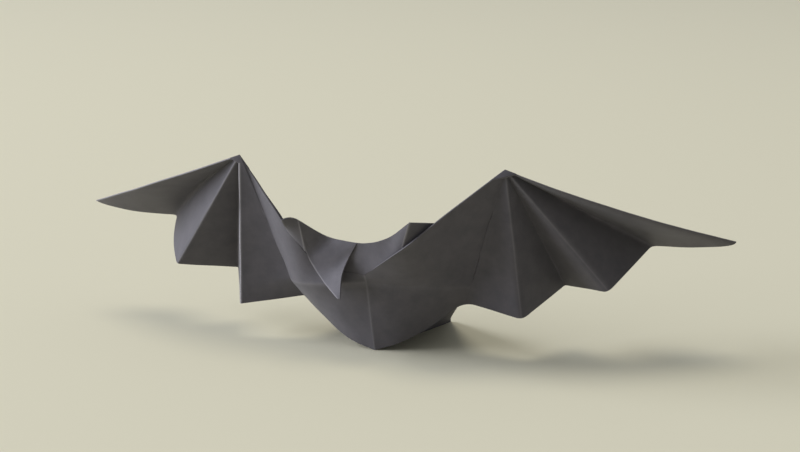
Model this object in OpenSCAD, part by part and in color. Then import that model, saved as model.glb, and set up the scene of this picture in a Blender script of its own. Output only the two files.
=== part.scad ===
// Bat folded from one square of charcoal paper, standing on the foot of its body and its two heels.
// Out is away from the middle, back is away from the face, and up is above the table.
// Lengths are in millimetres and angles in degrees. Back is measured from the foot of the ridge.
// The finished bat is moved so that the middle of its depth lies over the origin.

/* [Paper] */
// Thickness of the folded paper, its layers pressed together
paper = 0.3; // [0.2:0.05:0.6]

/* [Wrists] */
// How far each wrist stands out from the middle
wrist_out = 34.3; // [30:0.1:40]
// How far each wrist stands back, in front of the foot where negative
wrist_back = -3.7; // [-7:0.1:2]
// Height of each wrist above the table
wrist_up = 48.6; // [44:0.1:56]
// Length of the third valley crease that lies in the solid knot of paper where the creases meet
knot_len = 2; // [1.5:0.1:3]

/* [Wing attitude] */
// Turn of the leading edge towards the back
sweep = 25.8; // [15:0.1:35]
// Fall of the leading edge below level
droop = 18.5; // [8:0.1:28]
// Lean of the pleats back from upright
lean = 21.8; // [12:0.1:30]
// Forward bow of the leading edge at its middle
lead_bow = 4.5; // [0:0.1:7]
// How much higher the pleats hang on the right wing, and lower on the left
uneven = 0.8; // [0:0.1:1.5]

/* [Crease lengths] */
// Leading edge, from the wrist to the tip
lead_len = 61.3; // [54:0.1:70]
// First valley crease
valley_1_len = 49; // [44:0.1:54]
// First mountain crease
mountain_1_len = 41.3; // [37:0.1:46]
// Second valley crease
valley_2_len = 41.9; // [37:0.1:46]
// Second mountain crease
mountain_2_len = 39.9; // [36:0.1:44]
// Third valley crease, where the wing meets the body
valley_3_len = 40.4; // [37:0.1:44]

/* [Crease angles] */
// From the leading edge to the first valley, seen square to the wing
valley_1_turn = 16.3; // [12:0.1:20]
// From the first valley to the first mountain
mountain_1_turn = 14.2; // [11:0.1:18]
// From the first mountain to the second valley
valley_2_turn = 15.8; // [12:0.1:20]
// From the second valley to the second mountain
mountain_2_turn = 16.6; // [13:0.1:20]
// From the second mountain to the third valley
valley_3_turn = 20; // [16:0.1:24]

/* [Pleat depths] */
// First valley's end behind the wing's middle plane
valley_1_depth = 10; // [6:0.1:12]
// First mountain's end in front of the middle plane
mountain_1_depth = 6.9; // [4:0.1:9]
// Second valley's end behind the middle plane
valley_2_depth = 5.4; // [3:0.1:8]
// Second mountain's end in front of the middle plane
mountain_2_depth = 8.9; // [6:0.1:11]
// Third valley's end behind the middle plane
valley_3_depth = 0.4; // [0:0.1:2]

/* [Raw edges] */
// Downward belly of the raw edge between the tip and the first valley
tip_belly = 1; // [0:0.1:2]
// Forward bulge of the raw edge between the first valley and the first mountain
pleat_bulge = 2.4; // [0:0.1:3]

/* [Body] */
// Top of the ridge crease: back and up
ridge_top = [-6.5, 19.1]; // [-12:0.1:26]
// Top of the front's overlap, just above the ridge crease: back and up
overlap_top = [-7.8, 21.3]; // [-13:0.1:28]
// Right knee, where the soft crease round the body meets the third valley crease: out, back and up
right_knee = [23.6, 3.9, 16.7]; // [-4:0.1:30]
// Left knee: out, back and up
left_knee = [23.2, 2.8, 16.9]; // [-4:0.1:30]
// Forward swell of the soft crease between each knee and the ridge
soft_swell = 2; // [0:0.1:3]
// Lower edge of the front on the right, outer point: out, back and up
right_hem_outer = [14.3, 2.7, 6.9]; // [-4:0.1:20]
// Lower edge on the right, inner point: out, back and up
right_hem_inner = [7.1, -0.1, 2.7]; // [-4:0.1:20]
// Lower edge on the left, outer point: out, back and up
left_hem_outer = [14, 1.8, 7.1]; // [-4:0.1:20]
// Lower edge on the left, inner point: out, back and up
left_hem_inner = [7.3, 0.5, 2.6]; // [-4:0.1:20]
// Back end of each rear leg on the table: out and back
heel = [10.4, 32.6]; // [5:0.1:38]
// Height of the upright paper edge at the heel
heel_up = 1.2; // [0.8:0.1:3]
// How far each rear leg's front edge lies behind the front
leg_tuck = 0.6; // [0.5:0.05:1]

/* [Sides of the head] */
// Right side's top edge, upper point: out, back and up
right_side_high = [22.9, -8.9, 39.5]; // [-20:0.1:50]
// Right side's top edge, lower point: out, back and up
right_side_low = [12.6, -15.2, 30.6]; // [-20:0.1:50]
// Left side's top edge, upper point: out, back and up
left_side_high = [22.9, -10.1, 36.9]; // [-20:0.1:50]
// Left side's top edge, lower point: out, back and up
left_side_low = [13.3, -6, 23.1]; // [-20:0.1:50]

/* [Face and ears] */
// Lowest point of the rim between the ears: back and up
rim_middle = [-9.6, 29.4]; // [-16:0.1:40]
// Right rim, point nearer the middle: out, back and up
right_rim_near = [4.6, -11.7, 30.7]; // [-20:0.1:50]
// Right rim, point nearer the ear: out, back and up
right_rim_far = [9.2, -13.4, 33]; // [-20:0.1:50]
// Left rim, point nearer the middle: out, back and up
left_rim_near = [5, -8.1, 29.5]; // [-20:0.1:50]
// Left rim, point nearer the ear: out, back and up
left_rim_far = [10.5, -6.6, 30.1]; // [-20:0.1:50]
// Right ear's inner corner, the bat's foremost point: out, back and up
right_ear_in = [14.2, -16.6, 37]; // [-20:0.1:50]
// Right ear's outer corner: out, back and up
right_ear_out = [19.6, -7.6, 35.4]; // [-20:0.1:50]
// Left ear's inner corner: out, back and up
left_ear_in = [15.9, -11.5, 34.7]; // [-20:0.1:50]
// Left ear's outer corner: out, back and up
left_ear_out = [20, -9, 34.5]; // [-20:0.1:50]
// Swell of the left ear's top edge above a straight line
left_ear_swell = 0.6; // [0:0.1:1]
// How far the face's lower edge lies behind each side of the head, at the ears
tuck = 0.6; // [0.5:0.05:1]
// How far the second layer stands behind each side's top edge, between ear and wrist
layer_gap = 1.5; // [1:0.1:2.5]

/* [Flap] */
// Tip of the flap that lies over the front, on the left: out, back and up
chin = [4.4, -13.6, 16.1]; // [-20:0.1:50]
// Width of the flap's blunt tip
chin_w = 0.7; // [0.5:0.1:2]
// Where the flap's inner edge leaves the rim, as a share of the way from the middle to the left ear
flap_from = 0.1; // [0:0.01:0.2]
// Flap's outer edge, upper point: out, back and up
flap_outer_high = [15.3, -7.1, 25.3]; // [-20:0.1:50]
// Flap's outer edge, lower point: out, back and up
flap_outer_low = [11.2, -7.6, 19.2]; // [-20:0.1:50]
// Flap's inner edge, upper point: out, back and up
flap_inner_high = [3.8, -8.9, 25.2]; // [-20:0.1:50]
// Flap's inner edge, lower point: out, back and up
flap_inner_low = [4.8, -11.1, 21.1]; // [-20:0.1:50]

/* [Hidden] */
RIGHT = 1;
LEFT = -1;
// Steps along the creases above and below the soft crease
upper_steps = 8;
lower_steps = 4;
// Steps across the tip's panel, across each pleat and across half the front
tip_steps = 6;
pleat_steps = 3;
front_steps = 12;
// Steps of the face, each ear, the layer behind each side and the legs
face_steps = 8;
ear_steps = 3;
layer_steps = 6;
leg_steps = 6;
// Steps down and across the flap
flap_rows = 24;
flap_columns = 8;
// The paper's edge sinks this far below the table's plane before it is cut level
foot_cut = 0.3;
table_span = 300;
knot_facets = 8;

// Middle of the depth, from the right ear to the heels
middle_back = (right_ear_in[1] + heel[1]) / 2;
wrist = [wrist_out, wrist_back, wrist_up];
// Share of every crease that lies above the soft crease
soft_share = 0.87;
foot = [0, 0, -foot_cut / 3];
ridge = [0, ridge_top[0], ridge_top[1]];
overlap = [0, overlap_top[0], overlap_top[1]];
rim = [0, rim_middle[0], rim_middle[1]];

// Points and curves
function mid(a, b, t) = a + (b - a) * t;
function unit(v) = v / norm(v);
function on_side(side, p) = [side * p[0], p[1], p[2]];
function last(list) = list[len(list) - 1];
function backwards(list) = [for (i = [len(list) - 1:-1:0]) list[i]];
function shares(n) = [for (i = [0:n]) i / n];
// A hump that is 0 at both ends and 1 in the middle
function hump(t) = 4 * t * (1 - t);
// One stretch of a smooth curve from b to c, led by its neighbours a and d
function stretch(a, b, c, d, t) =
    (2 * b + (c - a) * t + (2 * a - 5 * b + 4 * c - d) * t * t + (3 * b - a - 3 * c + d) * t * t * t) / 2;
// A smooth curve through four points
function through(p, t) = let (
        from = 2 * p[0] - p[1],
        beyond = 2 * p[3] - p[2],
        all = [from, p[0], p[1], p[2], p[3], beyond],
        i = min(floor(t * 3), 2)
    ) stretch(all[i], all[i + 1], all[i + 2], all[i + 3], t * 3 - i);

// Directions of the wing: along the leading edge, down across the pleats, and back through the paper
along = [cos(droop) * cos(sweep), cos(droop) * sin(sweep), -sin(droop)];
upright_down = [-sin(droop) * cos(sweep), -sin(droop) * sin(sweep), -cos(droop)];
upright_back = cross(along, upright_down);
across = upright_down * cos(lean) + upright_back * sin(lean);
through_paper = upright_back * cos(lean) - upright_down * sin(lean);

// From the wrist to the end of a crease, by its length, its angle and its depth behind the middle plane
function reach(length, angle, depth) = let (flat = sqrt(length * length - depth * depth))
    flat * (cos(angle) * along + sin(angle) * across) + depth * through_paper;
valley_1_angle = valley_1_turn;
mountain_1_angle = valley_1_angle + mountain_1_turn;
valley_2_angle = mountain_1_angle + valley_2_turn;
mountain_2_angle = valley_2_angle + mountain_2_turn;
valley_3_angle = mountain_2_angle + valley_3_turn;
lead = reach(lead_len, 0, 0);
valley_1 = reach(valley_1_len, valley_1_angle, valley_1_depth);
mountain_1 = reach(mountain_1_len, mountain_1_angle, -mountain_1_depth);
valley_2 = reach(valley_2_len, valley_2_angle, valley_2_depth);
mountain_2 = reach(mountain_2_len, mountain_2_angle, -mountain_2_depth);
valley_3 = reach(valley_3_len, valley_3_angle, valley_3_depth);

// Steps across each panel of the fan, from the tip inwards
FAN_STEPS = [tip_steps, pleat_steps, pleat_steps, pleat_steps, pleat_steps];
// How far a panel's raw edge stands out of the flat at share t of its width
function bulge(panel, t) =
    panel == 0 ? [0, 0, -tip_belly * hump(sqrt(t))] :
    panel == 1 ? [0, -pleat_bulge * hump(t), 0] : [0, 0, 0];

// How far down each crease a row lies, as a share of its length
row_shares = concat(
    [for (t = shares(upper_steps)) mid(knot_len / valley_3_len, soft_share, t)],
    [for (i = [1:lower_steps]) mid(soft_share, 1, i / lower_steps)]
);

// A line of points from the wrist to the raw edge, bowed forward in the middle
function crease(side, end, hang, bow) = [
    for (t = row_shares) on_side(side, wrist + end * t + [0, -bow * hump(t), side * uneven * hang * t])
];
// The third valley crease, which bends at the knee
function root(side) = let (
        drop = [0, 0, side * uneven],
        bend = (side == LEFT ? left_knee : right_knee) + drop * soft_share,
        end = wrist + valley_3 + drop
    ) [
        for (t = row_shares) on_side(
            side,
            t <= soft_share ?
                mid(wrist, bend, t / soft_share) :
                mid(bend, end, (t - soft_share) / (1 - soft_share))
        )
    ];
function creases(side) = [
    crease(side, lead, 0, lead_bow),
    crease(side, valley_1, 0, 0),
    crease(side, mountain_1, 0.5, 0),
    crease(side, valley_2, 1, 0),
    crease(side, mountain_2, 1, 0),
    root(side)
];
// Columns across one panel, without its last crease
function panel_columns(side, lines, panel) = [
    for (i = [0:FAN_STEPS[panel] - 1]) let (t = i / FAN_STEPS[panel]) [
        for (j = [0:len(row_shares) - 1]) let (
            beside_body = panel == len(FAN_STEPS) - 1,
            flat_root = on_side(side, wrist + (valley_3 + [0, 0, side * uneven]) * row_shares[j]),
            inner = beside_body ? mid(flat_root, lines[panel + 1][j], t) : lines[panel + 1][j]
        ) mid(lines[panel][j], inner, t) + on_side(side, bulge(panel, t)) * row_shares[j]
    ]
];

// Guide lines of the front, from the wing's root to the ridge
function side_high(side) = side == LEFT ? left_side_high : right_side_high;
function side_low(side) = side == LEFT ? left_side_low : right_side_low;
function top_edge(side, t) = through([
    on_side(side, wrist),
    on_side(side, side_high(side)),
    on_side(side, side_low(side)),
    overlap
], t);
// The soft crease swells forward most nearer the knee, by this bend of its shares
swell_skew = 0.7;
function soft_crease(side, t) =
    mid(root(side)[upper_steps], ridge, t) + [0, -soft_swell * hump(pow(t, swell_skew)), 0];
function hem_outer(side) = side == LEFT ? left_hem_outer : right_hem_outer;
function hem_inner(side) = side == LEFT ? left_hem_inner : right_hem_inner;
function lower_edge(side, t) = through([
    last(root(side)),
    on_side(side, hem_outer(side)),
    on_side(side, hem_inner(side)),
    foot
], t);
// Where a column that starts at share t of the top edge crosses the soft crease and the lower edge
function lower_share(t) = t * t;
function front_column(side, t) = let (
        top = top_edge(side, t),
        soft = soft_crease(side, lower_share(t)),
        low = lower_edge(side, lower_share(t))
    ) concat(
        [for (s = shares(upper_steps)) mid(top, soft, s)],
        [for (i = [1:lower_steps]) mid(soft, low, i / lower_steps)]
    );

// Columns of one half of the front layer, from the wing's tip to the ridge
function half(side) = let (lines = creases(side)) concat(
    [for (panel = [0:len(FAN_STEPS) - 1]) each panel_columns(side, lines, panel)],
    [last(lines)],
    [for (i = [1:front_steps - 1]) front_column(side, i / front_steps)]
);

// A sheet of paper through a net of points: columns of points, thickened evenly on both sides.
// The net's front is the side from which its columns run left to right and each column runs down.
function net_normal(net, i, j) = unit(cross(net[i + 1][j + 1] - net[i][j], net[i + 1][j] - net[i][j + 1]));
function mean_normal(net, i, j) = let (
        near = [
            for (a = [max(i - 1, 0):min(i, len(net) - 2)])
                for (b = [max(j - 1, 0):min(j, len(net[0]) - 2)]) net_normal(net, a, b)
        ]
    ) [for (k = [0:2]) let (parts = [for (n = near) n[k]]) parts * [for (n = near) 1] / len(near)];
// Corners sharper than this share of a flat sheet's full direction are not thickened further
sharpest = 0.3;
module sheet(net) {
    columns = len(net);
    rows = len(net[0]);
    shifts = [
        for (i = [0:columns - 1])
            for (j = [0:rows - 1]) let (m = mean_normal(net, i, j)) m * paper / 2 / max(m * m, sharpest)
    ];
    flat_net = [for (column = net) each column];
    count = columns * rows;
    cells = [for (i = [0:columns - 2]) for (j = [0:rows - 2]) i * rows + j];
    front_faces = [for (c = cells) each [[c, c + rows, c + rows + 1], [c, c + rows + 1, c + 1]]];
    back_faces = [for (f = front_faces) [f[0] + count, f[2] + count, f[1] + count]];
    outline = concat(
        [for (i = [0:columns - 1]) i * rows],
        [for (j = [1:rows - 1]) (columns - 1) * rows + j],
        [for (i = [columns - 2:-1:0]) i * rows + rows - 1],
        [for (j = [rows - 2:-1:1]) j]
    );
    edge_faces = [
        for (k = [0:len(outline) - 1]) let (a = outline[k], b = outline[(k + 1) % len(outline)])
            each [[a, a + count, b + count], [a, b + count, b]]
    ];
    polyhedron(
        points = concat(flat_net + shifts, flat_net - shifts),
        faces = concat(front_faces, back_faces, edge_faces),
        convexity = 20
    );
}

// Wings and front of the body, one layer from tip to tip
module wings_and_front() {
    sheet(concat(half(LEFT), [front_column(RIGHT, 1)], backwards(half(RIGHT))));
}

// Knot of paper at each wrist, where all the creases run together.
// The first column of the front starts in it.
first_front = 1 / front_steps;
module wrist_knot(side) {
    ends = concat(
        [on_side(side, wrist), front_column(side, first_front)[0], second_layer(side, first_front)],
        [for (line = creases(side)) line[0]]
    );
    hull() {
        for (end = ends) translate(end) sphere(d = paper, $fn = knot_facets);
    }
}

// Face and ear on one side, and the second layer that runs from the ear to the wrist
function ear_in(side) = side == LEFT ? left_ear_in : right_ear_in;
function ear_out(side) = side == LEFT ? left_ear_out : right_ear_out;
function ear_swell(side) = side == LEFT ? left_ear_swell : 0;
// Where each ear's inner and outer corners meet the side's top edge, as shares of that edge
left_ear_in_share = 0.58;
right_ear_in_share = 0.72;
ear_out_share = 0.44;
function ear_in_share(side) = side == LEFT ? left_ear_in_share : right_ear_in_share;
// How far the second layer's lower edge lies down the side, as a share of the way to the soft crease
tuck_share = 0.1;
// Share of the second layer's gap that it already has at the wrist
gap_at_wrist = 0.2;
function rim_near(side) = side == LEFT ? left_rim_near : right_rim_near;
function rim_far(side) = side == LEFT ? left_rim_far : right_rim_far;
function rim_line(side, t) = through([
    rim,
    on_side(side, rim_near(side)),
    on_side(side, rim_far(side)),
    on_side(side, ear_in(side))
], t);
// The face's lower edge runs out onto the side's top edge at the middle
function tucked(side, t) = let (part = min(1, (1 - t) / (1 - ear_in_share(side))))
    mid(top_edge(side, t), soft_crease(side, lower_share(t)), tuck_share * part) + [0, tuck * part, 0];
// How far along from the wrist to the ear a point of the second layer lies
function layer_part(t) = (t - first_front) / (ear_out_share - first_front);
function second_layer(side, t) =
    top_edge(side, t) + [0, layer_gap * min(1, mid(gap_at_wrist, 1 + gap_at_wrist, layer_part(t))), 0];
function face_column(top, bottom) = [for (s = shares(face_steps)) mid(top, bottom, s)];
function face_half(side) = concat(
    [for (t = shares(face_steps)) face_column(rim_line(side, t), tucked(side, mid(1, ear_in_share(side), t)))],
    [
        for (i = [1:ear_steps]) let (t = i / ear_steps) face_column(
            on_side(side, mid(ear_in(side), ear_out(side), t) + [0, 0, ear_swell(side) * hump(t)]),
            tucked(side, mid(ear_in_share(side), ear_out_share, t))
        )
    ],
    [
        for (i = [1:layer_steps]) let (t = mid(ear_out_share, first_front, i / layer_steps))
            face_column(second_layer(side, t), tucked(side, t))
    ]
);
module face_and_layers() {
    right = face_half(RIGHT);
    sheet(concat(backwards(face_half(LEFT)), [for (i = [1:len(right) - 1]) right[i]]));
}

// Flap over the front, folded over at the rim's left half and curling down to the chin.
// Straight lines run across it, from its outer edge to the rim and then to its inner edge.
// At the rim its layer stands this share of the paper's thickness in front of the face's layer.
fold_share = 0.6;
// How close to the ear the flap starts, as a share of its outer edge
flap_start = 0.02;
// Shares of the outer edge from which straight lines run to the rim's deepest point and to its end
flap_valley = 1 / 3;
flap_corner = 1 / 2;
module head_flap() {
    tip = on_side(LEFT, chin);
    function flap_rim(s) = rim_line(LEFT, mid(1, flap_from, s)) + [0, -paper * fold_share, 0];
    function outer(t) = through([
        flap_rim(0),
        on_side(LEFT, flap_outer_high),
        on_side(LEFT, flap_outer_low),
        tip - [chin_w, 0, 0]
    ], t);
    function inner_edge(t) = through([
        flap_rim(1),
        on_side(LEFT, flap_inner_high),
        on_side(LEFT, flap_inner_low),
        tip
    ], t);
    function far_side(t) =
        t <= flap_valley ? flap_rim(t) :
        t <= flap_corner ? flap_rim(mid(flap_valley, 1, (t - flap_valley) / (flap_corner - flap_valley))) :
        inner_edge((t - flap_corner) / (1 - flap_corner));
    rows = concat([flap_start], [for (i = [1:flap_rows]) i / flap_rows]);
    sheet([
        for (s = shares(flap_columns)) [for (t = rows) mid(outer(t), far_side(t), s)]
    ]);
}

// Rear leg: the second layer, from the back of the front to the heel on the table
module rear_leg(side) {
    ground = on_side(side, [heel[0], heel[1], foot[2]]);
    top = ground + [0, 0, heel_up];
    function front_edge(t) =
        mid(soft_crease(side, t), lower_edge(side, t), t) + [0, leg_tuck * hump(t), 0];
    sheet([
        for (t = side == LEFT ? shares(leg_steps) : backwards(shares(leg_steps))) [
            for (s = shares(front_steps)) mid(mid(top, ground, s), front_edge(s), t)
        ]
    ]);
}

module folded_bat() {
    color("#3b393c") translate([0, -middle_back, 0]) difference() {
        union() {
            wings_and_front();
            face_and_layers();
            head_flap();
            for (side = [LEFT, RIGHT]) {
                wrist_knot(side);
                rear_leg(side);
            }
        }
        translate([-table_span / 2, -table_span / 2, -table_span]) cube(table_span);
    }
}

folded_bat();
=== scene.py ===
"""A bat folded from one sheet of charcoal craft paper, on a pale table in soft window light.

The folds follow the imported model's own sizes. Each layer of the paper starts as a flat grid, is
folded along its creases, gets the paper's thickness, and the layers are joined as one folded sheet.
Sizes are millimetres here and turn to metres when a layer is made. Back is measured from the foot
of the ridge, as in the model's source, and the finished sheet is moved over the origin.
"""

import logging
import math
from dataclasses import dataclass, field
from enum import Enum
from typing import Sequence

import bpy
import numpy as np
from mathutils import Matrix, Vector

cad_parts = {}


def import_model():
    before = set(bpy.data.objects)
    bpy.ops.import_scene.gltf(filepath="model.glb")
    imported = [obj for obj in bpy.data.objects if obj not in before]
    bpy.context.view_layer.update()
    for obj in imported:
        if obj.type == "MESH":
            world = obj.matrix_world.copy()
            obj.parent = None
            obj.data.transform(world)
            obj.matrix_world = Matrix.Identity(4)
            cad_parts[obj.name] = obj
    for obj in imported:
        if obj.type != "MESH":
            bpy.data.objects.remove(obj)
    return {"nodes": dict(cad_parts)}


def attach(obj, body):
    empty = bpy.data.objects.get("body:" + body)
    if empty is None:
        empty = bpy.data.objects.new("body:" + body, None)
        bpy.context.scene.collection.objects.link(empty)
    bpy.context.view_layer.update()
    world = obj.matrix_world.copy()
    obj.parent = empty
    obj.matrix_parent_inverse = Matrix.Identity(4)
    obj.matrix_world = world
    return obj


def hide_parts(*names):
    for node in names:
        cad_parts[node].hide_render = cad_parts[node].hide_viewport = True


log = logging.getLogger("folded_bat")

MM = 0.001
# From the foot of the ridge to the middle of the depth, which lies over the origin
MIDDLE_BACK = 8.0
TO_ORIGIN = np.array([0.0, -MIDDLE_BACK, 0.0])
Net = np.ndarray
Point = tuple[float, float, float]


class Side(Enum):
    """The two sides as they lie in the photograph: left is towards -X."""

    LEFT = -1
    RIGHT = 1

    def place(self, point: Sequence[float]) -> np.ndarray:
        """Puts a point, given as out, back and up, on this side."""
        return np.array([self.value * point[0], point[1], point[2]], float)


class Crease(Enum):
    """How firmly a fold was pressed, as half the width of its rounding in millimetres."""

    CRISP = 0.35
    FIRM = 0.7
    SOFT = 1.8
    SLACK = 3.6


def linear(code: str) -> tuple[float, float, float, float]:
    """Turns an sRGB hex colour to the linear colour that a shader needs.

    Args:
        code: six hex digits, such as "48464b".

    Returns:
        Red, green, blue and a full alpha.
    """
    parts = [int(code[i : i + 2], 16) / 255 for i in (0, 2, 4)]
    bent = [c / 12.92 if c <= 0.04045 else ((c + 0.055) / 1.055) ** 2.4 for c in parts]
    return (bent[0], bent[1], bent[2], 1.0)


def mid(a: np.ndarray, b: np.ndarray, t: float) -> np.ndarray:
    """Returns the point at share t of the way from a to b."""
    return a + (b - a) * t


def hump(t: float) -> float:
    """Returns a hump that is 0 at both ends of 0 to 1 and 1 in the middle."""
    return 4 * t * (1 - t)


def through(points: Sequence[np.ndarray], t: float) -> np.ndarray:
    """Follows a smooth curve through four points.

    Args:
        points: the four points.
        t: share of the way, from 0 at the first to 1 at the last.

    Returns:
        The point on the curve.
    """
    ends = [2 * points[0] - points[1], *points, 2 * points[3] - points[2]]
    i = min(int(t * 3), 2)
    u = t * 3 - i
    a, b, c, d = ends[i : i + 4]
    return (
        2 * b
        + (c - a) * u
        + (2 * a - 5 * b + 4 * c - d) * u**2
        + (3 * b - a - 3 * c + d) * u**3
    ) / 2


def even(steps: int) -> list[float]:
    """Returns shares from 0 to 1 in even steps."""
    return [i / steps for i in range(steps + 1)]


def crowded(steps: int) -> list[float]:
    """Returns shares from 0 to 1 that crowd towards both ends, where the creases lie."""
    return [0.5 - 0.5 * math.cos(math.pi * i / steps) for i in range(steps + 1)]


def fold_rounding(net: Net, column: int, widths: np.ndarray) -> Net:
    """Rounds the fold that runs down one column of a net, as pressed paper rounds.

    Args:
        net: points as columns, rows and three numbers.
        column: the column that lies on the crease.
        widths: half the width of the rounding for each row.

    Returns:
        What the rounding adds to each point.
    """
    shift = np.zeros_like(net)
    columns, rows, _ = net.shape
    for j in range(rows):
        width = widths[j]
        crease = net[column, j]
        tangents, near = [], []
        for step in (-1, 1):
            reach, i, found = 0.0, column, []
            while 0 <= i + step < columns and reach < width:
                reach += float(np.linalg.norm(net[i + step, j] - net[i, j]))
                i += step
                found.append((i, reach))
            if not found or reach < 1e-9:
                tangents.append(None)
                continue
            away = net[i, j] - crease
            tangents.append(step * away / max(float(np.linalg.norm(away)), 1e-9))
            near += found
        if tangents[0] is None or tangents[1] is None:
            continue
        turn = tangents[1] - tangents[0]
        shift[column, j] += turn * width / 4
        for i, reach in near:
            if reach < width:
                shift[i, j] += turn * (width - reach) ** 2 / (4 * width)
    return shift


def edge_highlight(net: Net, width: float = 0.2) -> np.ndarray:
    """Returns how strongly a painted highlight along a lit edge pales each point near its column's
    first point.
    """
    away = np.linalg.norm(net - net[:, :1], axis=2)
    return np.exp(-((away / width) ** 2))


@dataclass(frozen=True)
class PaperWave:
    """The slight waviness of paper that was folded and opened by hand."""

    height: float = 0.10
    length: float = 19.0

    def shift(self, net: Net) -> Net:
        """Works out how far the waves lift the paper off its smooth shape.

        Args:
            net: points as columns, rows and three numbers.

        Returns:
            The shift of every point, along the paper's own normal.
        """
        across = np.gradient(net, axis=0)
        down = np.gradient(net, axis=1)
        normal = np.cross(across, down)
        normal /= np.maximum(np.linalg.norm(normal, axis=2, keepdims=True), 1e-9)
        x, y, z = (net[..., k] * 2 * math.pi / self.length for k in range(3))
        # Three crossing waves, whose heights add up to 2.7
        wave = (
            np.sin(1.0 * x + 0.6 * z + 0.4)
            + np.sin(0.7 * y - 1.1 * z + 2.1)
            + 0.7 * np.sin(1.9 * x - 1.3 * z + 1.2)
        )
        return normal * (wave * self.height / 2.7)[..., None]


@dataclass
class PaperLayer:
    """One layer of the folded sheet: its folded net of points and how far each point is paled by
    rubbing and by painted highlight.
    """

    name: str
    net: Net
    worn_and_lit: np.ndarray
    thickness: float = 0.3
    wave: PaperWave = PaperWave()

    def build(self) -> bpy.types.Object:
        """Makes the layer from a flat grid, folds it and thickens it.

        Returns:
            The layer's object, at the origin, with its place in its mesh.
        """
        columns, rows, _ = self.net.shape
        bpy.ops.object.select_all(action="DESELECT")
        bpy.ops.mesh.primitive_grid_add(
            x_subdivisions=columns - 1, y_subdivisions=rows - 1, size=2, location=(0, 0, 0)
        )
        layer = bpy.context.object
        layer.name = self.name
        mesh = layer.data
        flat = np.empty(len(mesh.vertices) * 3, np.float32)
        mesh.vertices.foreach_get("co", flat)
        flat = flat.reshape(-1, 3)
        column = np.rint((flat[:, 0] + 1) / 2 * (columns - 1)).astype(int)
        row = np.rint((1 - flat[:, 1]) / 2 * (rows - 1)).astype(int)
        folded = self.net + self.wave.shift(self.net) + TO_ORIGIN
        mesh.vertices.foreach_set("co", (folded[column, row] * MM).astype(np.float32).ravel())
        # This attribute pales the paper where fibres are broken by rubbing and where highlight is
        # painted on lit creases and edges
        wear_and_highlight = mesh.attributes.new("wear_and_highlight", "FLOAT", "POINT")
        wear_and_highlight.data.foreach_set("value", self.worn_and_lit[column, row].astype(np.float32))
        mesh.update()
        thick = layer.modifiers.new("paper", "SOLIDIFY")
        thick.thickness = self.thickness * MM
        thick.offset = 0.0
        bpy.context.view_layer.objects.active = layer
        bpy.ops.object.modifier_apply(modifier=thick.name)
        log.info("layer %s: %d columns, %d rows", self.name, columns, rows)
        return layer


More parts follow.
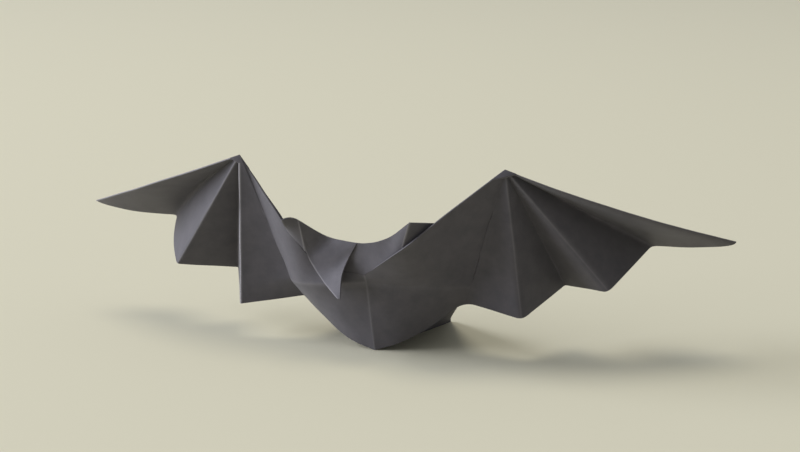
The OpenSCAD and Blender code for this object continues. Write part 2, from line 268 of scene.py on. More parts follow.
@dataclass
class Wings:
    """Both pleated wings and the front of the body, one layer from tip to tip.

    Points are given as out, back and up. Each wing has six creases, in the order of lengths: the
    leading edge, then valley, mountain, valley, mountain and valley. The last is the wing's root.
    """

    wrist: Point = (34.3, -3.7, 48.6)
    # The creases start this far from the wrist, where they come out of the knot
    knot: float = 2.0
    # Degrees by which a wing points back and down, and by which its plane leans
    sweep: float = 25.8
    droop: float = 18.5
    lean: float = 21.8
    lead_bow: float = 4.5
    # The raw edges hang this much lower on the left and this much higher on the right
    uneven: float = 0.8
    # Of each crease: its length, its degrees from the one before, how far its end lies behind the
    # wing's plane, and its share of the uneven hang
    lengths: tuple[float, ...] = (61.3, 49.0, 41.3, 41.9, 39.9, 40.4)
    turns: tuple[float, ...] = (0.0, 16.3, 14.2, 15.8, 16.6, 20.0)
    depths: tuple[float, ...] = (0.0, 10.0, -6.9, 5.4, -8.9, 0.4)
    hangs: tuple[float, ...] = (0.0, 0.0, 0.5, 1.0, 1.0, 1.0)
    # How far the raw edges of the first two panels and the first valley bend out of the straight.
    # A lower fullness moves the deepest point of the tip's belly towards the leading edge
    tip_belly: float = 1.0
    tip_fullness: dict[Side, float] = field(
        default_factory=lambda: {Side.LEFT: 0.85, Side.RIGHT: 0.5}
    )
    pleat_bulge: dict[Side, Point] = field(
        default_factory=lambda: {Side.LEFT: (1.2, 0.4, 0.0), Side.RIGHT: (0.0, -2.4, 0.0)}
    )
    valley_bow: dict[Side, Point] = field(
        default_factory=lambda: {Side.LEFT: (1.1, 0.1, 0.7), Side.RIGHT: (0.0, 0.0, 0.0)}
    )
    # The knee lies at this share of the root crease, and the soft crease starts from it
    soft_share: float = 0.87
    knee: dict[Side, Point] = field(
        default_factory=lambda: {Side.LEFT: (23.2, 2.8, 16.9), Side.RIGHT: (23.6, 3.9, 16.7)}
    )
    ridge_top: Point = (0.0, -6.5, 19.1)
    overlap: Point = (0.0, -7.8, 21.3)
    # Below 1, a skew moves the middle of the swell or the twist towards the wing
    soft_swell: dict[Side, float] = field(
        default_factory=lambda: {Side.LEFT: 4.8, Side.RIGHT: 3.0}
    )
    swell_skew: float = 0.7
    twist: dict[Side, Point] = field(
        default_factory=lambda: {Side.LEFT: (1.3, 4.2, -0.9), Side.RIGHT: (0.0, 0.0, 0.0)}
    )
    twist_end: float = 0.62
    twist_skew: float = 0.6
    root_bow: dict[Side, Point] = field(
        default_factory=lambda: {Side.LEFT: (-0.8, 0.3, 0.0), Side.RIGHT: (0.0, 0.0, 0.0)}
    )
    foot: Point = (0.0, 0.0, 0.0)
    # The lower raw edge runs through these two points between the root crease and the foot
    hem_outer: dict[Side, Point] = field(
        default_factory=lambda: {Side.LEFT: (14.7, 3.9, 6.7), Side.RIGHT: (13.9, 4.1, 6.6)}
    )
    hem_inner: dict[Side, Point] = field(
        default_factory=lambda: {Side.LEFT: (7.6, 1.4, 2.4), Side.RIGHT: (6.8, 0.8, 2.5)}
    )
    # The top edge runs through these two points between the wrist and the overlap
    side_high: dict[Side, Point] = field(
        default_factory=lambda: {Side.LEFT: (22.9, -10.1, 36.9), Side.RIGHT: (22.9, -8.9, 39.5)}
    )
    side_low: dict[Side, Point] = field(
        default_factory=lambda: {Side.LEFT: (13.3, -6.0, 23.1), Side.RIGHT: (12.6, -15.2, 30.6)}
    )
    # The leading edge is a raw edge and has no fold to round
    pressed: dict[Side, tuple[Crease | None, ...]] = field(
        default_factory=lambda: {
            Side.LEFT: (None, Crease.SOFT, Crease.FIRM, Crease.FIRM, Crease.CRISP, Crease.CRISP),
            Side.RIGHT: (None, Crease.SOFT, Crease.SOFT, Crease.FIRM, Crease.SOFT, Crease.SLACK),
        }
    )
    # Creases round fully from this far off the knot, and hardly where they run together
    full_rounding_at: float = 28.0
    least_rounding: float = 0.05
    # Pale lines along the creases and the ridge, partly from rubbing and partly painted highlight,
    # stronger on the left wing that faces the window light
    crease_wear_and_highlight: dict[Side, tuple[float, ...]] = field(
        default_factory=lambda: {
            Side.LEFT: (0.5, 0.0, 0.35, 0.0, 1.0, 0.0),
            Side.RIGHT: (0.1, 0.0, 0.15, 0.0, 0.2, 0.0),
        }
    )
    ridge_wear_and_highlight: float = 0.2
    # The left side's top edge, which faces the window light, gets a painted highlight over this part
    # of the way from the wrist to the ridge
    top_edge_highlight: float = 0.5
    top_edge_highlight_part: float = 0.6
    # A painted highlight along the soft crease, stronger on the lit left side
    soft_crease_highlight: dict[Side, float] = field(
        default_factory=lambda: {Side.LEFT: 0.16, Side.RIGHT: 0.04}
    )
    soft_crease_highlight_width: float = 0.45
    pleat_steps: int = 24
    front_steps: int = 60
    upper_steps: int = 44
    lower_steps: int = 12

    def __post_init__(self) -> None:
        """Works out the wing's directions and the ends of its creases."""
        sweep, droop, lean = (math.radians(a) for a in (self.sweep, self.droop, self.lean))
        along = np.array(
            [math.cos(droop) * math.cos(sweep), math.cos(droop) * math.sin(sweep), -math.sin(droop)]
        )
        down = np.array(
            [-math.sin(droop) * math.cos(sweep), -math.sin(droop) * math.sin(sweep), -math.cos(droop)]
        )
        back = np.cross(along, down)
        across = down * math.cos(lean) + back * math.sin(lean)
        square = back * math.cos(lean) - down * math.sin(lean)
        self.reaches: list[np.ndarray] = []
        angle = 0.0
        for length, turn, depth in zip(self.lengths, self.turns, self.depths):
            angle += math.radians(turn)
            flat = math.sqrt(length**2 - depth**2)
            self.reaches.append(
                flat * (math.cos(angle) * along + math.sin(angle) * across) + depth * square
            )
        start = self.knot / self.lengths[-1]
        self.rows = [mid(start, self.soft_share, t) for t in even(self.upper_steps)]
        self.rows += [mid(self.soft_share, 1.0, t) for t in even(self.lower_steps)[1:]]

    def crease(self, side: Side, index: int) -> np.ndarray:
        """Lays one crease of a wing, from the wrist to the raw edge.

        Args:
            side: which wing.
            index: which crease, from 0 at the leading edge.

        Returns:
            The crease's points, one for each row.
        """
        wrist, end = np.array(self.wrist), self.reaches[index]
        bows = {0: (0.0, -self.lead_bow, 0.0), 1: self.valley_bow[side]}
        bow = np.array(bows.get(index, (0.0, 0.0, 0.0)))
        hang = side.value * self.uneven * self.hangs[index]
        points = [wrist + end * t + bow * hump(t) + np.array([0, 0, hang * t]) for t in self.rows]
        return np.array([side.place(p) for p in points])

    def root(self, side: Side) -> np.ndarray:
        """Lays the third valley crease, which bends at the knee.

        Args:
            side: which wing.

        Returns:
            The crease's points, one for each row.
        """
        wrist = np.array(self.wrist)
        drop = np.array([0, 0, side.value * self.uneven])
        bend = np.array(self.knee[side]) + drop * self.soft_share
        end = wrist + self.reaches[-1] + drop
        bow = np.array(self.root_bow[side])
        points = []
        for t in self.rows:
            if t <= self.soft_share:
                part = t / self.soft_share
                points.append(mid(wrist, bend, part) + bow * hump(part))
            else:
                points.append(mid(bend, end, (t - self.soft_share) / (1 - self.soft_share)))
        return np.array([side.place(p) for p in points])

    def top_edge(self, side: Side, t: float) -> np.ndarray:
        """Follows a side's top edge, from the wrist to the overlap over the ridge.

        Next to its wrist the left side still follows the last pleat, and twists to the front later.

        Args:
            side: which side.
            t: share of the way from the wrist.

        Returns:
            The point on the edge.
        """
        high, low = side.place(self.side_high[side]), side.place(self.side_low[side])
        edge = through([side.place(self.wrist), high, low, np.array(self.overlap)], t)
        share = min(t / self.twist_end, 1.0)
        turned = math.sin(math.pi * share**self.twist_skew) ** 2
        return edge + side.place(self.twist[side]) * turned

    def soft_crease(self, side: Side, t: float) -> np.ndarray:
        """Returns a point of the soft crease round the body, from the knee to the ridge."""
        line = mid(self.root(side)[self.upper_steps], np.array(self.ridge_top), t)
        return line + np.array([0, -self.soft_swell[side] * hump(t**self.swell_skew), 0])

    def lower_edge(self, side: Side, t: float) -> np.ndarray:
        """Returns a point of the front's lower edge, from the wing's root to the foot."""
        hem = [side.place(self.hem_outer[side]), side.place(self.hem_inner[side])]
        return through([self.root(side)[-1], *hem, np.array(self.foot)], t)

    def front_column(self, side: Side, t: float) -> np.ndarray:
        """Lays one column of the front.

        Args:
            side: which side.
            t: share of the way from the wing's root to the ridge.

        Returns:
            The points from the top edge to the lower edge, one for each row.
        """
        top, soft = self.top_edge(side, t), self.soft_crease(side, t**2)
        low = self.lower_edge(side, t**2)
        upper = [mid(top, soft, s) for s in even(self.upper_steps)]
        lower = [mid(soft, low, s) for s in even(self.lower_steps)[1:]]
        return np.array(upper + lower)

    def bulge(self, side: Side, panel: int, t: float) -> np.ndarray:
        """Works out how far a panel's raw edge stands out of the flat.

        Args:
            side: which wing.
            panel: which panel, from 0 at the tip. Only the first two are bent.
            t: share of the way across the panel.

        Returns:
            The shift, as out, back and up.
        """
        if panel == 0:
            return np.array([0, 0, -self.tip_belly * hump(t ** self.tip_fullness[side])])
        if panel == 1:
            return np.array(self.pleat_bulge[side]) * hump(t)
        return np.zeros(3)

    def half(self, side: Side) -> tuple[list[np.ndarray], list[int]]:
        """Makes one wing and its half of the front.

        Args:
            side: which side.

        Returns:
            The columns from the tip to just before the ridge, and the columns on creases.
        """
        panels = len(self.lengths) - 1
        lines = [self.crease(side, k) for k in range(panels)] + [self.root(side)]
        rows = np.array(self.rows)[:, None]
        flat_root = side.place(self.wrist) + rows * side.place(
            self.reaches[-1] + np.array([0, 0, side.value * self.uneven])
        )
        columns, creases = [], []
        for panel in range(panels):
            creases.append(len(columns))
            for t in crowded(self.pleat_steps)[:-1]:
                inner = lines[panel + 1]
                if panel == panels - 1:
                    inner = mid(flat_root, inner, t)
                bulge = side.place(self.bulge(side, panel, t))
                columns.append(mid(lines[panel], inner, t) + rows * bulge)
        creases.append(len(columns))
        columns.append(lines[-1])
        columns += [self.front_column(side, t) for t in crowded(self.front_steps)[1:-1]]
        return columns, creases

    def layer(self) -> PaperLayer:
        """Folds the wings and the front from tip to tip.

        Returns:
            The folded layer.
        """
        left, creases = self.half(Side.LEFT)
        right, _ = self.half(Side.RIGHT)
        ridge = len(left)
        net = np.array(left + [self.front_column(Side.RIGHT, 1.0)] + right[::-1])
        shift = np.zeros_like(net)
        worn_and_lit = self.front_highlight(net, ridge, creases[-1])
        worn_and_lit = np.maximum(worn_and_lit, self.wear_and_highlight(net, ridge, self.ridge_wear_and_highlight))
        folds = [(ridge, Crease.CRISP)]
        for side in Side:
            for k, at in enumerate(creases):
                column = at if side is Side.LEFT else len(net) - 1 - at
                kind = self.pressed[side][k]
                if kind is not None:
                    folds.append((column, kind))
                worn_and_lit = np.maximum(worn_and_lit, self.wear_and_highlight(net, column, self.crease_wear_and_highlight[side][k]))
        for column, kind in folds:
            shift += fold_rounding(net, column, self.widths(net, column, kind.value))
        across = net.transpose(1, 0, 2)
        soft = fold_rounding(across, self.upper_steps, np.full(len(net), Crease.FIRM.value))
        return PaperLayer("wings_and_front", net + shift + soft.transpose(1, 0, 2), worn_and_lit)

    def front_highlight(self, net: Net, ridge: int, root: int) -> np.ndarray:
        """Works out the front's painted highlight, along its left top edge and its soft crease.

        Args:
            net: the whole layer's points.
            ridge: the column on the ridge.
            root: the column on the left wing's root.

        Returns:
            How strongly each point of the layer is paled by painted highlight.
        """
        worn_and_lit = np.zeros(net.shape[:2])
        pale_mask = edge_highlight(net)
        away = np.linalg.norm(net - net[:, self.upper_steps, None], axis=2)
        near_crease = np.exp(-((away / self.soft_crease_highlight_width) ** 2))
        for k in range(root, ridge):
            part = (k - root) / (self.top_edge_highlight_part * self.front_steps)
            left_highlight = self.soft_crease_highlight[Side.LEFT] * near_crease[k]
            worn_and_lit[k] = np.maximum(self.top_edge_highlight * max(0.0, 1 - part) * pale_mask[k], left_highlight)
            mirrored = len(net) - 1 - k
            worn_and_lit[mirrored] = self.soft_crease_highlight[Side.RIGHT] * near_crease[mirrored]
        return worn_and_lit

    def widths(self, net: Net, column: int, most: float) -> np.ndarray:
        """Returns the rounding of a crease at each row, narrower where the pleats run together."""
        length = np.linalg.norm(net[column] - net[column, 0], axis=1)
        return most * np.minimum(1.0, self.least_rounding + length / self.full_rounding_at)

    def wear_and_highlight(self, net: Net, column: int, amount: float, width: float = 0.24) -> np.ndarray:
        """Returns how far the pale line along a crease, of rubbing and painted highlight, lightens
        each point.
        """
        away = np.linalg.norm(net - net[column][None], axis=2)
        return amount * np.exp(-((away / width) ** 2))


@dataclass
class HeadLayers:
    """The face, the ears and the second layer that runs from each ear to its wrist."""

    wings: Wings
    rim: Point = (0.0, -9.6, 29.4)
    rim_near: dict[Side, Point] = field(
        default_factory=lambda: {Side.LEFT: (5.0, -8.1, 29.5), Side.RIGHT: (4.6, -11.7, 30.7)}
    )
    rim_far: dict[Side, Point] = field(
        default_factory=lambda: {Side.LEFT: (10.5, -6.6, 30.1), Side.RIGHT: (9.2, -13.4, 33.0)}
    )
    ear_in: dict[Side, Point] = field(
        default_factory=lambda: {Side.LEFT: (15.9, -11.5, 34.7), Side.RIGHT: (14.2, -16.6, 37.0)}
    )
    ear_out: dict[Side, Point] = field(
        default_factory=lambda: {Side.LEFT: (19.4, -13.9, 35.0), Side.RIGHT: (19.6, -7.6, 35.4)}
    )
    ear_swell: dict[Side, float] = field(
        default_factory=lambda: {Side.LEFT: 0.6, Side.RIGHT: 0.0}
    )
    # How far the face and the second layer lie behind the sides of the head
    tuck: float = 0.45
    layer_gap: float = 0.9
    gap_at_wrist: float = 0.2
    # Shares of the way from the wrist along the side's top edge, where the ear's two creases and
    # the first column of the second layer lie
    ear_in_share: dict[Side, float] = field(
        default_factory=lambda: {Side.LEFT: 0.58, Side.RIGHT: 0.72}
    )
    ear_out_share: float = 0.44
    first_front: float = 1 / 12
    tuck_share: float = 0.1
    middle_low_rounding: float = 0.2
    # Pale lines along the ear creases
    ear_in_pale_line: float = 0.5
    ear_out_pale_line: float = 0.2
    face_steps: int = 40
    ear_steps: int = 14
    layer_steps: int = 24

    def rim_line(self, side: Side, t: float) -> np.ndarray:
        """Returns a point of the rim between the middle and an ear."""
        points = [self.rim_near[side], self.rim_far[side], self.ear_in[side]]
        return through([np.array(self.rim), *[side.place(p) for p in points]], t)

    def tucked(self, side: Side, t: float) -> np.ndarray:
        """Follows the lower edge of the face and the ears, behind the side of the head.

        Args:
            side: which side.
            t: share of the way along the side's top edge, from the wrist.

        Returns:
            The point on the lower edge.
        """
        part = min(1.0, (1 - t) / (1 - self.ear_in_share[side]))
        down = self.tuck_share * part
        line = mid(self.wings.top_edge(side, t), self.wings.soft_crease(side, t**2), down)
        return line + np.array([0, self.tuck * part, 0])

    def second_layer(self, side: Side, t: float) -> np.ndarray:
        """Follows the second layer's top edge, between the wrist and the ear.

        Args:
            side: which side.
            t: share of the way along the side's top edge, from the wrist.

        Returns:
            The point, which lies behind the top edge by the gap between the layers.
        """
        part = (t - self.first_front) / (self.ear_out_share - self.first_front)
        gap = self.layer_gap * min(1.0, mid(self.gap_at_wrist, 1 + self.gap_at_wrist, part))
        return self.wings.top_edge(side, t) + np.array([0, gap, 0])

    def half(self, side: Side) -> list[np.ndarray]:
        """Makes one side of the face, its ear and its second layer.

        Args:
            side: which side.

        Returns:
            The columns from the middle of the face to the wrist.
        """
        columns = []

        def add(top: np.ndarray, bottom: np.ndarray) -> None:
            """Adds one column between two points."""
            columns.append(np.array([mid(top, bottom, s) for s in even(self.face_steps)]))

        for t in crowded(self.face_steps):
            add(self.rim_line(side, t), self.tucked(side, mid(1.0, self.ear_in_share[side], t)))
        inner, outer = side.place(self.ear_in[side]), side.place(self.ear_out[side])
        for t in crowded(self.ear_steps)[1:]:
            swell = np.array([0, 0, self.ear_swell[side] * hump(t)])
            share = mid(self.ear_in_share[side], self.ear_out_share, t)
            add(mid(inner, outer, t) + swell, self.tucked(side, share))
        for t in crowded(self.layer_steps)[1:]:
            share = mid(self.ear_out_share, self.first_front, t)
            add(self.second_layer(side, share), self.tucked(side, share))
        return columns

    def layer(self) -> PaperLayer:
        """Folds the face, the ears and the second layers.

        Returns:
            The folded layer.
        """
        left, right = self.half(Side.LEFT), self.half(Side.RIGHT)
        net = np.array(left[::-1] + right[1:])
        middle = len(left) - 1
        worn_and_lit = np.zeros(net.shape[:2])
        middle_widths = np.linspace(Crease.SOFT.value, self.middle_low_rounding, net.shape[1])
        shift = fold_rounding(net, middle, middle_widths)
        ear_in, ear_out = self.face_steps, self.face_steps + self.ear_steps
        for side in Side:
            for at, amount in ((ear_in, self.ear_in_pale_line), (ear_out, self.ear_out_pale_line)):
                column = middle + side.value * at
                # These creases run together at their lower ends, so their widths start from there
                widths = self.wings.widths(net[:, ::-1], column, Crease.CRISP.value)[::-1]
                shift += fold_rounding(net, column, widths)
                worn_and_lit = np.maximum(worn_and_lit, self.wings.wear_and_highlight(net, column, amount))
        return PaperLayer("face_and_ears", net + shift, worn_and_lit)


@dataclass
class HeadFlap:
    """The flap over the front, folded over at the rim's left half and curling to the chin."""

    head: HeadLayers
    # The blunt tip, where the flap ends
    chin: Point = (4.4, -13.6, 16.1)
    chin_width: float = 0.7
    rim_end: float = 0.1
    # The first row, just clear of the point where both edges meet at the ear
    start: float = 0.02
    outer_high: Point = (15.3, -7.1, 25.3)
    outer_low: Point = (11.2, -7.6, 19.2)
    inner_high: Point = (3.8, -8.9, 25.2)
    inner_low: Point = (4.8, -11.1, 21.1)
    lift: float = 0.18
    # Shares of the way from the ear to the chin
    valley: float = 1 / 3
    corner: float = 1 / 2
    # A painted highlight along the flap's outer edge, which faces the window light
    lit_edge_highlight: float = 0.6
    columns: int = 24
    rows: int = 48

    def left_edge(self, t: float) -> np.ndarray:
        """Follows the flap's outer edge.

        Args:
            t: share of the way from the ear to the blunt tip.

        Returns:
            The point on the edge.
        """
        side = Side.LEFT
        blunt = side.place(self.chin) - np.array([self.chin_width, 0, 0])
        ear = self.rim(0.0)
        return through([ear, side.place(self.outer_high), side.place(self.outer_low), blunt], t)

    def rim(self, s: float) -> np.ndarray:
        """Returns a point where the flap leaves the rim, from the ear to near the middle."""
        lift = np.array([0, -self.lift, 0])
        return self.head.rim_line(Side.LEFT, mid(1.0, self.rim_end, s)) + lift

    def right_edge(self, t: float) -> np.ndarray:
        """Follows the flap's far side, along the rim and then down the inner edge.

        Args:
            t: share of the way. The valley and the corner of the rim lie at their own shares.

        Returns:
            The point on the far side.
        """
        side = Side.LEFT
        if t <= self.valley:
            return self.rim(t)
        if t <= self.corner:
            return self.rim(mid(self.valley, 1.0, (t - self.valley) / (self.corner - self.valley)))
        inner = [side.place(self.inner_high), side.place(self.inner_low)]
        part = (t - self.corner) / (1 - self.corner)
        return through([self.rim(1.0), *inner, side.place(self.chin)], part)

    def layer(self) -> PaperLayer:
        """Folds the flap as straight lines across it, from the ear down to the chin.

        Returns:
            The folded layer.
        """
        shares = [self.start, *even(self.rows)[1:]]
        net = np.array(
            [
                [mid(self.left_edge(t), self.right_edge(t), s) for t in shares]
                for s in even(self.columns)
            ]
        )
        valley = round(self.rows * self.valley)
        across = net.transpose(1, 0, 2)
        shift = fold_rounding(across, valley, np.full(len(net), Crease.FIRM.value))
        worn_and_lit = self.lit_edge_highlight * edge_highlight(across).T
        return PaperLayer("head_flap", net + shift.transpose(1, 0, 2), worn_and_lit)


@dataclass
class RearLeg:
    """The second layer of one leg, from the back of the front to the heel on the table."""

    wings: Wings
    side: Side
    heel: tuple[float, float] = (10.4, 32.6)
    heel_up: float = 1.2
    # The leg reaches this far below the table, where the whole sheet is cut level
    below_table: float = 0.1
    tuck: float = 0.6
    steps: int = 30

    def layer(self) -> PaperLayer:
        """Folds the leg.

        Returns:
            The folded layer.
        """
        ground = self.side.place((*self.heel, -self.below_table))
        top = ground + np.array([0, 0, self.heel_up])

        def front_edge(t: float) -> np.ndarray:
            """Returns a point of the leg's front edge, on the back of the front."""
            high, low = self.wings.soft_crease(self.side, t), self.wings.lower_edge(self.side, t)
            return mid(high, low, t) + np.array([0, self.tuck * hump(t), 0])

        shares = even(self.steps)
        edge = [front_edge(s) for s in shares]
        columns = [
            [mid(mid(top, ground, s), edge[k], t) for k, s in enumerate(shares)] for t in shares
        ]
        if self.side is Side.RIGHT:
            columns = columns[::-1]
        net = np.array(columns)
        return PaperLayer(f"rear_leg_{self.side.name.lower()}", net, np.zeros(net.shape[:2]))


@dataclass
class WristKnot:
    """The small knot where all the creases and layers of a wing run together."""

    wings: Wings
    head: HeadLayers
    side: Side
    paper: float = 0.3

    def build(self) -> bpy.types.Object:
        """Makes the knot as the hull of small balls over the ends of the creases.

        Returns:
            The knot's object.
        """
        ends = [self.side.place(self.wings.wrist)]
        ends.append(self.wings.front_column(self.side, self.head.first_front)[0])
        ends.append(self.head.second_layer(self.side, self.head.first_front))
        ends += [self.wings.crease(self.side, k)[0] for k in range(len(self.wings.lengths) - 1)]
        ends.append(self.wings.root(self.side)[0])
        bpy.ops.object.select_all(action="DESELECT")
        bpy.ops.mesh.primitive_ico_sphere_add(subdivisions=2, radius=self.paper / 2 * MM)
        ball = bpy.context.object
        moved = np.array([v.co for v in ball.data.vertices])
        points = np.concatenate([moved + (e + TO_ORIGIN) * MM for e in ends])
        mesh = bpy.data.meshes.new("knot")
        mesh.from_pydata([tuple(p) for p in points], [], [])
        ball.data = mesh
        ball.name = f"wrist_knot_{self.side.name.lower()}"
        bpy.ops.object.mode_set(mode="EDIT")
        bpy.ops.mesh.select_all(action="SELECT")
        bpy.ops.mesh.convex_hull()
        bpy.ops.object.mode_set(mode="OBJECT")
        mesh.attributes.new("wear_and_highlight", "FLOAT", "POINT")
        return ball


def node(tree: bpy.types.NodeTree, kind: str, **settings: object) -> bpy.types.Node:
    """Adds a node with its settings and links.

    Args:
        tree: the material's node tree.
        kind: the node's type.
        settings: node properties by name, or sockets by their name with spaces as two
            underscores; a socket as a value is linked.

    Returns:
        The new node.
    """
    made = tree.nodes.new(kind)
    for name, value in settings.items():
        if hasattr(made, name) and not name[0].isupper():
            setattr(made, name, value)
            continue
        socket = made.inputs[name.replace("__", " ")]
        if isinstance(value, bpy.types.NodeSocket):
            tree.links.new(value, socket)
        else:
            socket.default_value = value
    return made


@dataclass(frozen=True)
class CharcoalPaper:
    """Craft paper dyed charcoal in the pulp and pressed between felts.

    That gives the eye a matt, faintly violet dark grey with an uneven tone and a soft tooth. Where
    fibres at a crease or an edge are broken by rubbing, they stand up and look paler. The same pale
    colour is also painted as highlight along creases and edges that face the window light.
    """

    colour: str = "575459"
    deep: str = "4a484d"
    # Pale colour of fibres broken by rubbing, also used as painted highlight on lit creases and edges
    worn_and_lit: str = "a3a0a4"
    roughness: float = 0.72
    ior: float = 1.47
    specular: float = 0.4
    sheen: float = 0.12
    sheen_roughness: float = 0.5
    # Paper fibres are about 0.03 mm thick, too fine to show, so they are drawn coarser
    fibre_mm: float = 0.35
    tooth: float = 0.7
    tooth_mm: float = 0.06
    # The pulp settles in clouds a few millimetres wide
    cloud_mm: float = 4.0
    # How far the pale colour, of rubbing and of painted highlight, may cover the paper's own tone
    most_lightened: float = 0.9

    def material(self) -> bpy.types.Material:
        """Makes the paper's material.

        Returns:
            The material, in Object coordinates, with rubbing and painted highlight from the mesh's
            own attribute.
        """
        made = bpy.data.materials.new("charcoal_craft_paper")
        made.use_nodes = True
        tree = made.node_tree
        tree.nodes.clear()
        place = node(tree, "ShaderNodeTexCoord").outputs["Object"]
        clouds = node(
            tree,
            "ShaderNodeTexNoise",
            Vector=place,
            Scale=1 / (self.cloud_mm * MM),
            Detail=4.0,
            Roughness=0.6,
        )
        fibres = node(
            tree,
            "ShaderNodeTexNoise",
            Vector=place,
            Scale=1 / (self.fibre_mm * MM),
            Detail=4.0,
            Roughness=0.7,
        )
        # Noise stays near its middle, so both patterns are stretched to use the whole range
        cloudy = node(
            tree, "ShaderNodeMapRange", Value=clouds.outputs["Fac"], From__Min=0.25, From__Max=0.75
        )
        mottle = node(
            tree,
            "ShaderNodeMapRange",
            Value=fibres.outputs["Fac"],
            From__Min=0.3,
            From__Max=0.7,
            To__Min=0.6,
        )
        # A colour mix has its two colours at inputs 6 and 7 and the mixed one at output 2
        tone = node(tree, "ShaderNodeMix", data_type="RGBA", Factor=cloudy.outputs["Result"])
        tone.inputs[6].default_value = linear(self.deep)
        tone.inputs[7].default_value = linear(self.colour)
        # Paler where the attribute marks rubbing and painted highlight on lit creases and edges,
        # broken up by the fibres
        wear_and_highlight = node(tree, "ShaderNodeAttribute", attribute_name="wear_and_highlight")
        pale_mask = node(tree, "ShaderNodeMath", operation="MULTIPLY")
        tree.links.new(wear_and_highlight.outputs["Fac"], pale_mask.inputs[0])
        tree.links.new(mottle.outputs["Result"], pale_mask.inputs[1])
        scaled = node(
            tree, "ShaderNodeMapRange", Value=pale_mask.outputs["Value"], To__Max=self.most_lightened
        )
        lightened = node(tree, "ShaderNodeMix", data_type="RGBA", Factor=scaled.outputs["Result"])
        tree.links.new(tone.outputs[2], lightened.inputs[6])
        lightened.inputs[7].default_value = linear(self.worn_and_lit)
        bump = node(
            tree,
            "ShaderNodeBump",
            Strength=self.tooth,
            Distance=self.tooth_mm * MM,
            Height=fibres.outputs["Fac"],
        )
        shader = node(
            tree,
            "ShaderNodeBsdfPrincipled",
            Base__Color=lightened.outputs[2],
            Roughness=self.roughness,
            IOR=self.ior,
            Specular__IOR__Level=self.specular,
            Sheen__Weight=self.sheen,
            Sheen__Roughness=self.sheen_roughness,
            Normal=bump.outputs["Normal"],
        )
        node(tree, "ShaderNodeOutputMaterial", Surface=shader.outputs["BSDF"])
        return made


@dataclass
class FoldedBat:
    """The whole folded sheet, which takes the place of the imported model's solid."""

    finish: CharcoalPaper = CharcoalPaper()
    # Bends below this many degrees are shaded smooth, and the raw edges stay sharp
    smooth_below: float = 32.0

    def build(self) -> bpy.types.Object:
        """Folds every layer, joins them and lays the foot level on the table.

        Returns:
            The finished piece.
        """
        wings = Wings()
        head = HeadLayers(wings)
        parts = [wings.layer().build(), head.layer().build(), HeadFlap(head).layer().build()]
        for side in Side:
            parts.append(RearLeg(wings, side).layer().build())
            parts.append(WristKnot(wings, head, side).build())
        bpy.ops.object.select_all(action="DESELECT")
        for part in parts:
            part.select_set(True)
        bpy.context.view_layer.objects.active = parts[0]
        bpy.ops.object.join()
        bat = bpy.context.object
        bat.name = "folded_paper"
        bpy.ops.object.mode_set(mode="EDIT")
        bpy.ops.mesh.select_all(action="SELECT")
        bpy.ops.mesh.bisect(
            plane_co=(0, 0, 0), plane_no=(0, 0, 1), clear_inner=True, use_fill=True, threshold=1e-6
        )
        bpy.ops.object.mode_set(mode="OBJECT")
        bpy.ops.object.select_all(action="DESELECT")
        bat.select_set(True)
        bpy.context.view_layer.objects.active = bat
        bpy.ops.object.shade_smooth_by_angle(angle=math.radians(self.smooth_below))
        bat.data.materials.clear()
        bat.data.materials.append(self.finish.material())
        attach(bat, "root")
        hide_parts("folded_bat")
        return bat


@dataclass(frozen=True)
class TableTop:
    """The plain pale table under the bat, with no edge in view.

    It is brushed with matt paint, which gives the eye an even pale tone with no gloss.
    """

    colour: str = "d6d2ba"
    roughness: float = 0.85
    specular: float = 0.2
    reach: float = 6.0

    def build(self) -> bpy.types.Object:
        """Lays the table.

        Returns:
            The table.
        """
        bpy.ops.object.select_all(action="DESELECT")
        bpy.ops.mesh.primitive_plane_add(size=self.reach, location=(0, 0, 0))
        table = bpy.context.object
        table.name = "table"
        made = bpy.data.materials.new("matt_table_paint")
        made.use_nodes = True
        shader = made.node_tree.nodes["Principled BSDF"]
        shader.inputs["Base Color"].default_value = linear(self.colour)
        shader.inputs["Roughness"].default_value = self.roughness
        shader.inputs["Specular IOR Level"].default_value = self.specular
        table.data.materials.append(made)
        return table


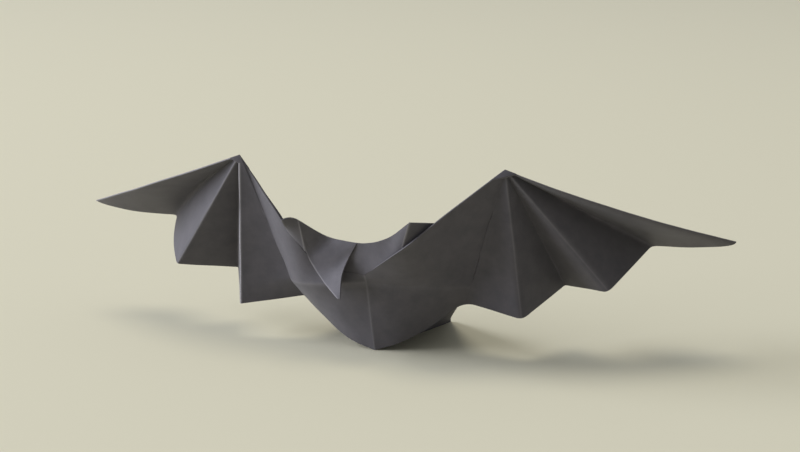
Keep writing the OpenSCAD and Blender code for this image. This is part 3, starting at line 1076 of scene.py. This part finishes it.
@dataclass(frozen=True)
class Light:
    """One soft round lamp that faces the bat, with its sizes in metres."""

    name: str
    towards: Point
    distance: float
    size: float
    power: float
    colour: str
    aim_height: float = 0.02

    def build(self) -> bpy.types.Object:
        """Hangs the lamp.

        Returns:
            The lamp's object.
        """
        lamp = bpy.data.lights.new(self.name, "AREA")
        lamp.shape = "DISK"
        lamp.size = self.size
        lamp.energy = self.power
        lamp.color = linear(self.colour)[:3]
        made = bpy.data.objects.new(self.name, lamp)
        bpy.context.scene.collection.objects.link(made)
        direction = Vector(self.towards).normalized()
        made.location = direction * self.distance + Vector((0, 0, self.aim_height))
        made.rotation_mode = "QUATERNION"
        made.rotation_quaternion = direction.to_track_quat("Z", "Y")
        return made


@dataclass(frozen=True)
class Studio:
    """The camera, the lamps and the even light of the room."""

    eye: Point = (152.3, -469.9, 135.3)
    turn: float = 17.5
    fall: float = 12.0
    lens: float = 90.0
    sensor: float = 36.0
    near: float = 0.01
    window: Light = Light(
        name="window",
        towards=(-0.93, -0.26, 0.34),
        distance=4.8,
        size=5.0,
        power=430.0,
        colour="f0f3ff",
    )
    ceiling: Light = Light(
        name="ceiling",
        towards=(-0.2, 0.15, 1.0),
        distance=1.6,
        size=0.9,
        power=6.5,
        colour="fff8ea",
    )
    room: str = "e9ecf2"
    room_strength: float = 0.34

    def build(self) -> None:
        """Sets the camera, the lamps and the world."""
        scene = bpy.context.scene
        camera = bpy.data.objects.new("camera", bpy.data.cameras.new("camera"))
        scene.collection.objects.link(camera)
        camera.data.lens = self.lens
        camera.data.sensor_width = self.sensor
        camera.data.clip_start = self.near
        camera.location = Vector(self.eye) * MM
        camera.rotation_euler = (math.radians(90 - self.fall), 0.0, math.radians(self.turn))
        scene.camera = camera
        for light in (self.window, self.ceiling):
            light.build()
            log.info("lamp %s: %.1f W", light.name, light.power)
        world = bpy.data.worlds.new("room")
        scene.world = world
        world.use_nodes = True
        background = world.node_tree.nodes["Background"]
        background.inputs["Color"].default_value = linear(self.room)
        background.inputs["Strength"].default_value = self.room_strength
        scene.view_settings.view_transform = "Standard"


def main() -> None:
    """Builds the bat, its table and the studio."""
    logging.basicConfig(level=logging.INFO, format="%(name)s: %(message)s")
    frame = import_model()
    log.info("frame has %s", sorted(frame["nodes"]))
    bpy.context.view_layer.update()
    bat = FoldedBat().build()
    log.info("folded paper: %d faces", len(bat.data.polygons))
    table = TableTop().build()
    log.info("table: %.1f m wide", table.dimensions.x)
    Studio().build()


if __name__ == "__main__":
    main()
